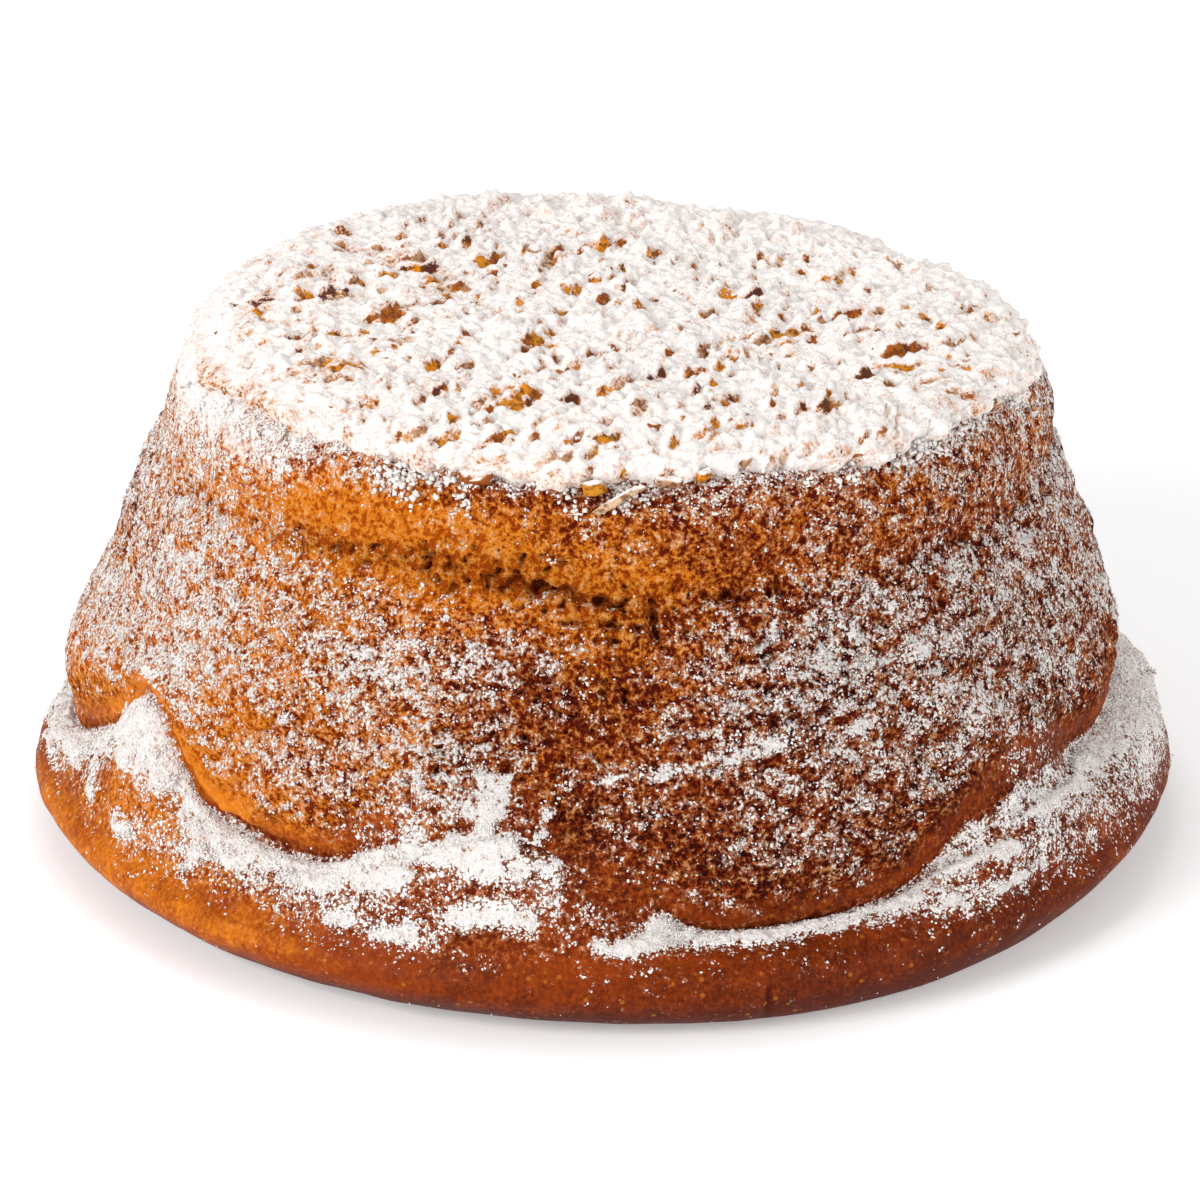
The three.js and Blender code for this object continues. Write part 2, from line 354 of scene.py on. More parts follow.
def roundTable(rows, angle, column):
    table = np.array(rows, dtype=float)
    return np.interp(angle, table[:, 0], table[:, column])


def patches(rows, angle, height):
    return sum(more * bell(angle, centre, width) * hump(height, level, rise)
               for centre, level, width, rise, more in rows)


def grooveFill(angle):  # where sugar and crust close the groove
    return np.clip(bells(angle, sugarFall["filled"], 4), 0, 1)


def filledOutline(angle, place, line):  # the groove made a plain slope from the ledge up to the waist
    low, high = placeOf("ledge"), placeOf("waist")
    foot, waist = (onOutline(angle, np.full(len(angle), end)) for end in (low, high))
    part = np.clip((place - low) / (high - low), 0, 1)[:, None]
    share = grooveFill(angle)[:, None] * between(part, 0, 0.25) * between(part, 1, 0.75)
    return line + share * (foot + (waist - foot) * part - line)


def sugarOnLedge(angle, height, away, spots):  # how thick the sugar lies, by the distance from the groove
    reach = roundTable(sugarFall["ledge"], angle, 1)
    thick = roundTable(sugarFall["ledge"], angle, 2)
    (lobeSize, lobeDepth), (fraySize, frayDepth) = sugarFall["lobes"], sugarFall["fray"]
    ragged = noise(spots * (1, 1, 1.5), lobeSize, 41) * lobeDepth
    ragged = ragged + noise(spots, fraySize, 42) * frayDepth
    above = height - grooveHeight(angle)
    fill = grooveFill(angle)
    left = 1.12 - away / reach + ragged * (1 - 0.45 * fill) + 0.30 * fill
    left = left + patches(sugarFall["ledgePatches"], angle, height)
    behind = away + 2 * fill - 2 * bells(angle, sugarFall["bareStrip"], 4)
    heap = sugarFall["heap"]
    climb = between(angle, heap["from"], heap["to"]) * heap["climb"] + heap["foot"]
    edge = above + heap["edgeDepth"] * noise(spots, heap["edge"], 43)
    over = np.clip(between(above, 0.1, -0.1) + fill * between(edge, climb, climb - heap["fade"]), 0, 1)
    return thick * (1 - 0.1 * fill) * between(left, -0.05, 0.7) * between(behind, 0.3, 1.6) * over


def dustOnWall(angle, height, above):
    dust = 0.54 + 0.8 * patches(sugarFall["wall"], angle, height)
    for centre, reach, width in sugarFall["bareFoot"]:
        dust = dust - 0.75 * bell(angle, centre, width) * between(above, reach, reach * 0.5)
    dust = dust - 0.15 * between(above, 6, 0)
    line = np.array(sugarFall["wallLine"])
    level = np.interp(angle, line[:, 0], line[:, 1])
    ends = between(angle, line[0, 0] - 2, line[0, 0]) * between(angle, line[-1, 0] + 2, line[-1, 0])
    dust = dust + 0.5 * ends * hump(height, level, sugarFall["wallLineDepth"])
    centre, width, low, high, more = sugarFall["slid"]
    slid = more * bell(angle, centre, width) * between(height, low, high)
    return dust + 0.05 * between(height, 96, 101) + slid


# The baked crust

crustLook = {
    "columns": 1150, "row": 0.56, "wideRow": 6.0, "triangles": 190000, "steps": 4000, "parts": 24,
    "sink": 1.2, "lump": 0.9, "puff": 1.7, "bump": 0.6, "crease": 0.6, "pit": 1.7, "tear": 2.2,
    "grain": 0.15, "brimDent": 0.25, "fluff": 0.95, "looseFluff": 0.65,
    "tornLine": 81,  # the height at which the collar meets the wall
    "footShadow": (-42, 17),  # where the painted shadow line at the wall's foot is darkest: angle, width
    "right": (88, 38), "left": (-88, 34),  # the sides, where the wall is calmer: angle, width
    "softRim": [(88, 1.0, 38), (-88, 0.2, 34), (99, 1.2, 18)],  # where the rim is rounder
    "narrowBrim": (85, 28),
    # the brim's edge stands higher here, and the ledge behind it lower
    "edgeRise": [(92, 2.2, 30), (-90, 1.6, 22)], "ledgeDrop": [(106, 2.4, 24)],
}
# where the crust is torn open: angle, height, width in degrees, width in height, how much
tears = [
    (-38, 84.5, 8, 2.2, 0.9), (-24, 85.5, 9, 2.8, 1.0), (-14, 85, 8, 4, 0.8), (-5, 82, 8, 3.5, 0.9),
    (3, 78, 6, 4, 0.8), (15, 81, 6, 2, 0.5), (34, 80, 12, 2, 0.35), (52, 78, 9, 2, 0.4),
    (-62, 83, 10, 2, 0.4), (-2, 62, 8, 10, 0.5), (24, 66, 12, 10, 0.4), (100, 80, 30, 3, 0.7),
    (150, 83, 25, 3, 0.8), (-140, 83, 25, 3, 0.8), (-15, 50, 8, 8, 0.4),
]
# single cuts: angle, height, width in degrees, width in height, depth
cuts = [
    (5.4, 77.8, 0.55, 2.6, 2.2), (15.2, 8.6, 0.3, 3.6, 1.0), (14.5, 80.6, 1.8, 0.5, 1.6),
    (-46.5, 27.5, 7, 1.2, 1.2), (18, 57.5, 0.5, 2.6, 1.3), (-7.2, 66, 2.6, 0.5, 1.2),
    (1.6, 43, 0.35, 3.2, 0.9), (3.4, 42, 0.3, 3, 0.7),
]


def crustPlaces():  # places along the outline, close together where the crust shows
    place = np.linspace(0, 1, crustLook["steps"])
    length = runLength(onOutline(np.full(len(place), 30.0), place))
    seen = (place > placeOf("skinStart")) & (place < placeOf("skinEnd"))
    gap = np.where(seen, crustLook["row"], crustLook["wideRow"])
    count = np.concatenate([[0], np.cumsum(np.diff(length) / gap[1:])])
    rows = int(count[-1])
    return np.interp(np.arange(rows + 1) * count[-1] / rows, count, place)


def crustRelief(spots, angle, height):
    look = crustLook
    above = height - grooveHeight(angle)
    wall = between(above, 0.3, 4)
    fill = grooveFill(angle)
    collar = between(height, 78.5, 83)
    brim = 1 - between(height, cakeShape["shoulderHeight"], cakeShape["shoulderHeight"] + 3)
    brim = brim * (above < 1)
    wide = noise(spots, 23, 1) + 0.6 * noise(spots, 12, 2)
    lobes = noise(spots, 8.5, 3)
    puff = np.abs(lobes) + 0.6 * np.abs(noise(spots, 4.2, 4)) - 0.45
    broken = patches(tears, angle, height)
    crease = between(np.abs(lobes), 0.07, 0.0) * between(noise(spots, 7, 8) + 0.3 * broken, 0.15, 0.6)
    pit = noise(spots * (1, 1, 1.3), 2.4, 6) + 0.6 * noise(spots, 1.2, 7)
    pit = between(pit + 0.30 * broken, 0.50, 0.95) * between(broken, 0.02, 0.3)
    relief = wide * look["lump"] * (0.25 + 0.75 * wall) - look["sink"] * wall
    relief += puff * look["puff"] * wall * (1 - 0.4 * collar)
    relief += noise(spots, 2.8, 5) * look["bump"] * wall
    relief += noise(spots, 1.4, 10) * look["grain"] * (0.15 + 0.85 * wall)
    relief -= crease * look["crease"] * wall * (1 - 0.5 * collar)
    relief -= pit * look["pit"] * wall
    # the torn line where the collar meets the wall
    line = look["tornLine"] + 4.4 * noise(spots, 13, 11) + 2.4 * noise(spots, 3.5, 12)
    torn = hump(height, line, 0.9) * between(broken + 1.1 * noise(spots, 6, 13), 0.50, 1.0)
    relief -= torn * look["tear"]
    # a dark line where the wall meets the ledge: painted shadow, in the colour only
    footShadow = hump(above, 0.9, 1.2) * (0.35 + 0.65 * bell(angle, *look["footShadow"])) * (1 - fill)
    # a little narrower at the sides, the rim rounder there
    sides = bell(angle, *look["right"]) + bell(angle, *look["left"])
    relief *= 1 - 0.35 * np.clip(sides, 0, 1) * wall
    relief -= 0.6 * sides * wall + bells(angle, look["softRim"]) * between(height, 90, 101)
    relief -= 0.8 * brim * bell(angle, *look["narrowBrim"])
    cut = np.zeros(angle.shape)
    for centre, level, width, rise, depth in cuts:
        cut = np.maximum(cut, depth * bell(angle, centre, width) * hump(height, level, rise))
    relief -= cut
    # the brim's skin is smooth, with a few broad dents
    relief += noise(spots, 9, 14) * look["brimDent"] * brim
    relief *= between(height, 0.2, 3.5)
    # hollow marks where the crust's colour is darkened as painted shade: creases, pits, tears, cuts and the
    # line at the wall's foot
    hollow = np.clip(crease * 0.5 + pit * 0.8 + torn * 0.7 + cut + 0.9 * footShadow, 0, 1)
    return relief, hollow, broken, wall, collar, brim


def makeCrust(material):
    look = crustLook
    place = crustPlaces()
    angle = np.arange(look["columns"]) / look["columns"] * 360 - 180
    angle, place = np.meshgrid(angle, place)
    rows, columns = angle.shape
    line = onOutline(angle.ravel(), place.ravel())
    radius, height = line[:, 0].reshape(rows, columns), line[:, 1].reshape(rows, columns)
    filled = filledOutline(angle.ravel(), place.ravel(), line)
    base = roundCake(angle, *filled.T.reshape(2, rows, columns))
    normal = outwards(base)
    groove = np.stack([grooveRadius(angle), grooveHeight(angle)], axis=-1)
    away = np.linalg.norm(np.stack([radius, height], axis=-1) - groove, axis=-1)
    relief, hollow, torn, wall, collar, brim = crustRelief(base, angle, height)
    onLedge = (place < placeOf("sugarEnd")) & (height > cakeShape["shoulderHeight"] - 1)
    sugar = sugarOnLedge(angle, height, away, base) * onLedge
    sink = between(height, 99.5, 104)  # the crust runs under the crumb on the top
    fluff = noise(base, 1.7, 15) + 0.8 * noise(base, 3, 17) + 0.8 * noise(base, 5, 16)
    fluff = fluff * look["fluff"] * between(sugar, 0.2, 0.9) * look["looseFluff"]
    spots = base + normal * (relief * (1 - 0.6 * between(sugar, 0, 1)) + sugar + fluff - sink)[..., None]
    spots[..., 2] += bells(angle, look["edgeRise"]) * hump(height, 8, 5) * (place < placeOf("brimEnd"))
    drop = bells(angle, look["ledgeDrop"]) * between(place, placeOf("ledgeRise"), placeOf("ledge"))
    spots[..., 2] -= drop * between(place, placeOf("ledgeEnd"), placeOf("ledgeBack"))
    spots[..., 2] = np.maximum(spots[..., 2], 0)
    spots[height < 0.01, 2] = 0
    ring = np.arange(columns)
    quads = []
    for row in range(1, rows - 2):
        here, up = row * columns + ring, (row + 1) * columns + ring
        quads.append(np.stack([here, np.roll(here, -1), np.roll(up, -1), up], axis=1))
    faces = np.concatenate(quads).tolist()
    faces.append((columns + ring[::-1]).tolist())
    faces.append(((rows - 2) * columns + ring).tolist())
    piece = newPiece("cakeCrust", spots.reshape(-1, 3), np.array(faces, dtype=object), material)
    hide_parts("cake")
    thinOut(piece, look["triangles"])
    # each kept vertex takes its values from the nearest place of the grid
    kept = vertexSpots(piece)
    column = np.round((turnOf(kept) + 180) / 360 * columns).astype(int) % columns
    row = np.empty(len(kept), dtype=int)
    grid = spots.transpose(1, 0, 2)
    for part in np.array_split(np.arange(len(kept)), look["parts"]):
        row[part] = np.linalg.norm(grid[column[part]] - kept[part][:, None], axis=-1).argmin(1)
    pick = (row, column)
    values = crustValues(kept, vertexNormals(piece), angle[pick], height[pick], away[pick], sugar[pick],
                         hollow[pick], torn[pick], wall[pick], collar[pick], brim[pick])
    writeValues(piece, **values)
    return piece, values


def thinOut(piece, triangles):
    count = sum(len(face.vertices) - 2 for face in piece.data.polygons)
    thin = piece.modifiers.new("thin", "DECIMATE")
    thin.ratio = triangles / count
    applyModifiers(piece)
    print(piece.name, count, "->", sum(len(face.vertices) - 2 for face in piece.data.polygons))


# how dark the crust is, from its baking and from painted light and shade (lighter where the left is lit,
# darker to the right and just under the top's rim): angle, height, width in degrees, width in height, how
# much more
bakedAndShadedPatches = [
    (-34, 90, 22, 11, -0.56), (-48, 32, 10, 12, -0.46), (-62, 60, 28, 34, -0.42), (-66, 10, 24, 9, -0.34),
    (-30, 55, 20, 24, -0.22), (-38, 12, 14, 4, -0.26), (-10, 84, 18, 7, -0.36), (1, 72, 10, 12, -0.24),
    (20, 81, 14, 5, -0.14), (60, 50, 34, 45, 0.12), (20, 26, 20, 9, 0.12), (34, 8, 60, 6, 0.14),
    (-4, 36, 5, 8, 0.20), (-6, 101, 20, 3, 0.25), (12, 50, 18, 12, 0.08), (-84, 94, 26, 14, -0.35),
    (-82, 38, 18, 14, -0.40), (-12, 75, 16, 7, -0.12), (50, 92, 26, 9, -0.08), (82, 72, 14, 30, -0.12),
]
crustTone = {
    "drift": [(16, 21, 0.10), (5, 22, 0.14), (2.2, 23, 0.10)],  # uneven dust: size, seed, how much
    "lean": 0.28, "leanDust": 0.6, "powder": 0.58, "powderFloor": 0.16, "brimDust": 0.04, "fullSugar": 1.25,
    "bakedAndShaded": 0.66, "veil": (-74, 34), "roughFoot": (-8, 14),
}


def crustValues(spots, normals, angle, height, away, sugar, hollow, torn, wall, collar, brim):
    tone = crustTone
    above = height - grooveHeight(angle)
    drift = sum(noise(spots, size, seed) * more for size, seed, more in tone["drift"])
    lean = normals[:, 2]
    onWall = dustOnWall(angle, height, above) + tone["leanDust"] * (lean - tone["lean"]) * (1 - 0.4 * collar)
    reach = roundTable(sugarFall["ledge"], angle, 1)
    powder = tone["powder"] * between(away / reach, 2.0, 0.9) + tone["powderFloor"]
    faceDust = bells(angle, sugarFall["brim"])
    onBrim = tone["brimDust"] + faceDust + 0.22 * between(height, 12, 16) + 0.10 * between(height, 6, 2)
    onLedge = np.maximum(powder + faceDust * 0.6, tone["fullSugar"] * between(sugar, 0.12, 0.7))
    onLedge = onLedge + 0.3 * patches(sugarFall["ledgePatches"], angle, height)
    flat = np.where(height > cakeShape["shoulderHeight"] - 0.5, onLedge, onBrim)
    dust = np.where(above > 0.5, onWall, flat) + drift * (1 - brim * 0.5)
    holes = between(noise(spots, 2.1, 25), 0.12, 0.55) * (0.30 + 0.30 * grooveFill(angle))
    thick = tone["fullSugar"] * between(sugar, 0.2, 0.8) - holes * between(sugar, 0.1, 0.5)
    dust = np.maximum(dust, thick) - 0.35 * hollow * wall
    dust = dust * np.maximum(between(lean, -0.55, -0.1), between(sugar, 0.3, 0.8)) * between(height, 1.0, 4.0)
    bakedAndShaded = tone["bakedAndShaded"] + patches(bakedAndShadedPatches, angle, height)
    bakedAndShaded += (0.14 - 0.07 * brim) * noise(spots, 15, 31) + 0.10 * noise(spots, 4, 32)
    # painted shade: the brim a little darker overall and much darker towards its underside, which the pale
    # floor and the fill light would otherwise light
    bakedAndShaded += brim * (0.08 + 0.40 * between(height, 8.5, 2)) - 0.12 * collar
    bareSkin = between(above, 9, 3) * wall * (1 - bell(angle, *tone["roughFoot"], 4))
    veilHeight = height + 6 * noise(spots * (1, 1, 0.35), 5, 24)
    return {
        "dust": np.clip(dust, 0, 1.3), "bakedAndShaded": np.clip(bakedAndShaded, 0, 1), "hollow": hollow,
        "torn": np.clip(torn, 0, 1), "veil": bell(angle, *tone["veil"]) * between(veilHeight, 89.5, 99),
        "skin": np.clip(brim + bareSkin * (height < 60) + (1 - wall) * 0.5, 0, 1),
    }


# The crumb of nuts and sugar on the top

crumbLook = {
    "grid": 304, "over": 5.8, "powder": 0.5, "steps": 600, "lift": -0.5, "fallFrom": (-0.35, 0.30, 1.0),
    "slant": 45, "stretch": 1.4,  # the crumb lies in slanting rows
    # bits of three sizes: size, seed, share of the places that hold one, height, what is added to it
    "bits": [(5.6, 51, 0.42, 2.2, 0), (3.1, 52, 0.45, 1.5, 0.15), (1.7, 53, 0.5, 0.6, 0.2)],
    "bitShape": (0.62, 0.44, 0.36), "bitEdge": 3.2,
    # how far the crumb hangs over the rim: angle, more, width
    "laps": [(-48, -2.2, 18), (-100, 1.5, 30), (36, 1.6, 5), (-5, 1.3, 5), (15, -1.4, 4),
             (50, -1.4, 9), (78, 1.6, 12)],
    "lowSides": [(86, 1.0, 24), (-97, 0.6, 26)],
    "knob": [(117, 0.9, 10), (98, -2.0, 14)],  # a round knob at the back right, with a notch behind it
    "smoothRim": (-74, 34), "calmLeft": (-95, 30), "calmBack": (180, 80), "coveredRim": (62, 40),
    "hem": (-60, 24), "hemTint": (0.52, 0.20, 0.05),
}
crumbTints = [  # ochre, amber, orange brown, tan, dark brown, purple brown, cream
    (0.66, 0.25, 0.018), (0.80, 0.27, 0.010), (0.38, 0.10, 0.014), (0.50, 0.27, 0.15),
    (0.115, 0.034, 0.014), (0.100, 0.026, 0.022), (0.70, 0.48, 0.30),
]
tintShares = [0.15, 0.20, 0.30, 0.16, 0.09, 0.06, 0.04]


def randomTurns(count, seed):
    raw = np.random.default_rng(seed).normal(size=(count, 3, 3))
    return np.linalg.qr(raw)[0]


def crumbChunks(spots, size, seed, share):  # humps of chopped bits: how high, and the bit's own number
    turns = randomTurns(64, seed)
    spots = spots / size
    corner = np.floor(spots).astype(np.int64)
    best = np.zeros(len(spots))
    number = np.zeros(len(spots))
    for step in np.ndindex(3, 3, 3):
        cell = corner + np.array(step) - 1
        own = [hashed(cell, seed, k) for k in range(6)]
        centre = cell + 0.15 + 0.7 * np.stack(own[1:4], axis=-1)
        turn = turns[(own[4] * 63).astype(int)]
        local = np.einsum("nij,nj->ni", turn, spots - centre) / crumbLook["bitShape"]
        large = 0.75 + 0.5 * own[5]
        gap = np.sum(np.abs(local) ** crumbLook["bitEdge"], axis=-1) ** (1 / crumbLook["bitEdge"]) / large
        high = np.sqrt(np.clip(1 - gap ** 2, 0, 1)) * large
        higher = (high > best) & (own[0] < share)
        best = np.where(higher, high, best)
        number = np.where(higher, own[0] / share, number)
    return best, number


def discGrid(count):  # an even grid of spots over a round disc: distance from the middle, and angle
    line = np.linspace(-1, 1, count) + 1e-6
    a, b = np.meshgrid(line, line)
    wide = np.abs(a) > np.abs(b)
    reach = np.where(wide, a, b)
    turn = np.where(wide, math.pi / 4 * b / a, math.pi / 2 - math.pi / 4 * a / b)
    x, y = reach * np.cos(turn), reach * np.sin(turn)
    return np.hypot(x, y), np.degrees(np.arctan2(x, -y))


def soften(field, times):
    for _ in range(times):
        field = (field + np.roll(field, 1, 0) + np.roll(field, -1, 0)) / 3
        field = (field + np.roll(field, 1, 1) + np.roll(field, -1, 1)) / 3
    return field


def pickTints(number):
    edges = np.cumsum(tintShares) / sum(tintShares)
    return np.array(crumbTints)[np.clip(np.searchsorted(edges, number), 0, len(crumbTints) - 1)]


def crumbGround():  # the grid that the crumb lies on, and how far the crumb runs at each angle
    look = crumbLook
    reach, angle = discGrid(look["grid"])
    place = np.linspace(1, placeOf("crumbEnd"), look["steps"])
    length = runLength(onOutline(np.full(len(place), 40.0), place))
    lap = look["over"] + bells(angle, look["laps"])
    edge = np.interp(placeOf("topRim"), place[::-1], length[::-1]) + lap
    place = np.interp(np.minimum(reach, 1) * edge, length, place)
    line = onOutline(angle.ravel(), place.ravel())
    base = roundCake(angle.ravel(), *line.T).reshape(*angle.shape, 3)
    normal = gridNormals(base)
    return base, normal * np.sign(normal[..., 2:3] + 0.2), reach, angle, edge


def gridNormals(spots):
    normal = np.cross(np.gradient(spots, axis=1), np.gradient(spots, axis=0))
    return normal / np.linalg.norm(normal, axis=-1, keepdims=True)


def crumbRoughness(base, reach, angle):  # less at the back and at the left of the rim
    look = crumbLook
    rough = between(base[..., 0] + 0.3 * base[..., 1], -75, 10) * 0.2 + 0.8
    rough = rough * (1 - 0.85 * bell(angle, *look["calmLeft"]) * between(reach, 0.74, 0.9))
    return rough * (1 - 0.8 * bell(angle, *look["calmBack"], 4) * between(reach, 0.78, 0.92))


def alongRows(base):  # the spots drawn together along the rows
    slant = math.radians(crumbLook["slant"])
    slant = np.array((math.cos(slant), math.sin(slant), 0))
    spots = base.reshape(-1, 3)
    drawn = spots - np.outer((spots @ slant) * (1 - 1 / crumbLook["stretch"]), slant)
    return drawn.reshape(base.shape)


def choppedBits(base, rows):  # how high the bits stand, and each bit's own number
    heights, numbers = [], []
    for spots, (size, seed, share, high, more) in zip((rows, base, base), crumbLook["bits"]):
        found, number = crumbChunks(spots.reshape(-1, 3), size, seed, share)
        heights.append(found * high + more)
        numbers.append(number)
    heights = np.stack(heights)
    return heights.max(0).reshape(base.shape[:2]), np.choose(heights.argmax(0), numbers)


def bareCrumb(base, rows, facing, hollow, rough, reach, angle):  # where the falling sugar left the bits bare
    look = crumbLook
    fall = np.array(look["fallFrom"]) / np.linalg.norm(look["fallFrom"])
    cluster = noise(rows, 9, 56) * 0.9 + noise(base, 3.2, 57) * 0.4
    bare = 1.05 * between(facing @ fall, 0.80, 0.36) + 0.5 * hollow + 0.60 * cluster - 0.34
    bare += 0.40 * between(base[..., 0], 20, -50) - 0.16 * between(base[..., 1], 10, 60)
    bare -= 0.30 * bell(angle, *look["coveredRim"]) * between(reach, 0.80, 0.92)
    bare *= 1 - 0.65 * between(base[..., 1], 25, 66)
    return np.clip(bare, 0, 1) * (0.45 + 0.55 * rough) * (0.4 + 0.6 * between(reach, 1.0, 0.86))


def makeCrumb(material):
    look = crumbLook
    base, normal, reach, angle, edge = crumbGround()
    rough = crumbRoughness(base, reach, angle)
    rows = alongRows(base)
    bits, number = choppedBits(base, rows)
    swirl = noise(base, 26, 54) * 0.9 + noise(rows, 9, 55) * 0.9
    fold, ripple = np.abs(noise(rows, 8, 62)), np.abs(noise(base, 4, 63))
    raw = (2.1 * fold + 1.3 * ripple + 0.8 * np.abs(noise(base, 2, 65)) + 0.9 * bits - 0.5) * rough
    facing = gridNormals(base + normal * (soften(raw, 1) + swirl)[..., None])
    facing *= np.sign(np.sum(facing * normal, axis=-1, keepdims=True))
    hollow = 0.6 * between(fold, 0.11, 0) + 0.5 * between(ripple, 0.10, 0)
    bare = bareCrumb(base, rows, facing, hollow, rough, reach, angle)
    powder = np.abs(noise(base, 2.8, 59)) * 1.4 + noise(base, 1.4, 58) * 0.22
    sugar = 0.5 * raw + 0.5 * np.maximum(raw, soften(raw, 3)) + look["powder"] + powder
    lift = raw * bare + sugar * (1 - bare)
    lift = lift + swirl * between(reach, 1.0, 0.86)
    # the rim: ragged, and tucked under the crust where it ends
    ragged = noise(base, 17, 64) * 1.6 + noise(base, 6, 60) * 2.2 + noise(base, 2.6, 61) * 1.7
    rim = edge * (1 - reach) - 2.2 + ragged
    smooth = bell(angle, *look["smoothRim"])
    lift = lift * np.clip(between(rim, -0.6, 1.6) - 0.7 * smooth * between(rim, 11, 0), 0, 1)
    lift -= 4.5 * between(rim, 0.6, -1.6) + 1.6 * bells(angle, look["lowSides"]) * between(reach, 0.74, 1.0)
    lift += bells(angle, look["knob"]) * between(reach, 0.72, 0.90)
    top = base + normal * (look["lift"] * between(rim, 0, 2) + lift)[..., None]
    index = np.arange(angle.size).reshape(angle.shape)
    faces = np.stack([index[:-1, :-1], index[:-1, 1:], index[1:, 1:], index[1:, :-1]], axis=-1)
    faces = faces.reshape(-1, 4)
    piece = newPiece("sugarCrumb", top.reshape(-1, 3), faces, material)
    # a hem of tan crumb along the rim, where sugar and crust meet
    hem = (bell(angle, *look["hem"]) * between(rim, 7, -0.5)).ravel()
    writeValues(piece, bare=np.maximum(bare.ravel(), 0.58 * hem))
    hemTint = between(hem, 0.05, 0.4)[:, None]
    writeTint(piece, pickTints(number) * (1 - hemTint) + np.array(look["hemTint"]) * hemTint)
    print("sugarCrumb", len(faces) * 2)
    return top, normal, rough, reach


# Nut pieces

nutLook = {
    "count": 190, "kinds": 24, "small": 2.4, "large": 5.8, "extraPoints": 8, "sunk": 0.42, "wear": 0.035,
    "box": (0.80, 0.60, 0.48), "ball": (0.48, 0.36, 0.30), "backFrom": 15, "backReach": 0.45, "reach": 0.97,
}
# larger flakes at the rim: angle, height, from the axis, length, width, thickness, turn, tint
flakes = [
    (1.6, 99.8, 89.2, 12, 1.8, 1.6, 32, 0.99), (-1.4, 101.4, 87.9, 5, 3.5, 3.0, 10, 0.1),
    (-16, 102.2, 87.6, 7, 3.5, 2.6, 4, 0.5), (7.5, 102.4, 87.2, 6, 3, 2.4, -8, 0.75),
    (12, 103.0, 86.6, 4, 3, 2.4, 20, 0.3), (33, 102.6, 86.4, 4, 3.5, 2.6, 0, 0.45),
    (118, 101.6, 73, 5, 4, 3, 20, 0.7),
]


def nutShape(dice):  # one chopped piece: the hull of a worn box and a few more points, roughened
    box = bmesh.new()
    for corner in np.ndindex(2, 2, 2):
        box.verts.new((np.array(corner) - 0.5) * nutLook["box"] * dice.uniform(0.65, 1.1, 3))
    for point in dice.normal(size=(nutLook["extraPoints"], 3)):
        box.verts.new(point / np.linalg.norm(point) * nutLook["ball"])
    hull = bmesh.ops.convex_hull(box, input=box.verts)
    inside = [part for part in hull["geom_interior"] if isinstance(part, bmesh.types.BMVert)]
    bmesh.ops.delete(box, geom=inside, context="VERTS")
    bmesh.ops.subdivide_edges(box, edges=box.edges, cuts=1, use_grid_fill=True)
    bmesh.ops.triangulate(box, faces=box.faces)
    box.verts.index_update()
    spots = np.array([v.co[:] for v in box.verts])
    faces = np.array([[v.index for v in f.verts] for f in box.faces])
    box.free()
    spots += dice.normal(scale=nutLook["wear"], size=spots.shape)
    return spots, faces


def makeNuts(material, top, normal, rough, reach):
    look = nutLook
    dice = np.random.default_rng(71)
    count = len(top)
    kinds = [nutShape(dice) for _ in range(look["kinds"])]
    turns = randomTurns(look["count"], 72)
    allSpots, allFaces, allTints = [], [], []

    def keep(spots, faces, number):
        allFaces.append(faces + sum(len(earlier) for earlier in allSpots))
        allSpots.append(spots)
        allTints.append(np.repeat(pickTints(number), len(spots), axis=0))

    while len(allSpots) < look["count"]:
        i, j = dice.integers(4, count - 4, size=2)
        atBack = top[i, j, 1] > look["backFrom"] and reach[i, j] > look["backReach"]
        if reach[i, j] > look["reach"] or atBack or dice.random() > rough[i, j] ** 2:
            continue
        size = look["small"] + (look["large"] - look["small"]) * dice.random() ** 1.8
        spots, faces = kinds[dice.integers(len(kinds))]
        at = top[i, j] - normal[i, j] * size * look["sunk"] * dice.uniform(0.6, 1.2)
        keep(spots * size @ turns[len(allSpots)] + at, faces, dice.random(1))
    for at, height, radius, length, width, thickness, turn, tint in flakes:
        spots, faces = kinds[dice.integers(len(kinds))]
        across = roundCake(at + 90, 1.0, 0.0)
        outward = roundCake(at, 1.0, 0.0)
        up = np.array([0, 0, 1.0])
        lean = math.radians(turn)
        longWay = math.cos(lean) * across + math.sin(lean) * up
        wideWay = 0.75 * outward - 0.5 * math.sin(lean) * across + 0.5 * math.cos(lean) * up
        wideWay /= np.linalg.norm(wideWay)
        frameOf = np.stack([longWay, wideWay, np.cross(longWay, wideWay)])
        size = np.array([length, width / 0.72, thickness / 0.6])
        keep(spots * size @ frameOf + roundCake(at, radius, height), faces, np.array([tint]))
    piece = newPiece("nutPieces", np.concatenate(allSpots), np.concatenate(allFaces), material)
    writeTint(piece, np.concatenate(allTints))
    print("nutPieces", sum(len(f) for f in allFaces))


# Loose grains and clumps of sugar

grainLook = {
    "specks": 23000, "clumps": 2900, "grainsInClump": 8, "speck": (0.10, 0.28), "grain": (0.16, 0.42),
    "rimCrumbs": 620, "grainsInCrumb": 10, "crumb": (0.35, 0.85), "hem": 99.5,
    "calmWall": (-78, 32), "calmRim": (-78, 30),  # where few or no loose crumbs lie: angle, width
}

octahedron = np.array([(1, 0, 0), (-1, 0, 0), (0, 1, 0), (0, -1, 0), (0, 0, 1), (0, 0, -1)], dtype=float)
octahedronFaces = np.array([
    (0, 2, 4), (2, 1, 4), (1, 3, 4), (3, 0, 4), (2, 0, 5), (1, 2, 5), (3, 1, 5), (0, 3, 5),
])


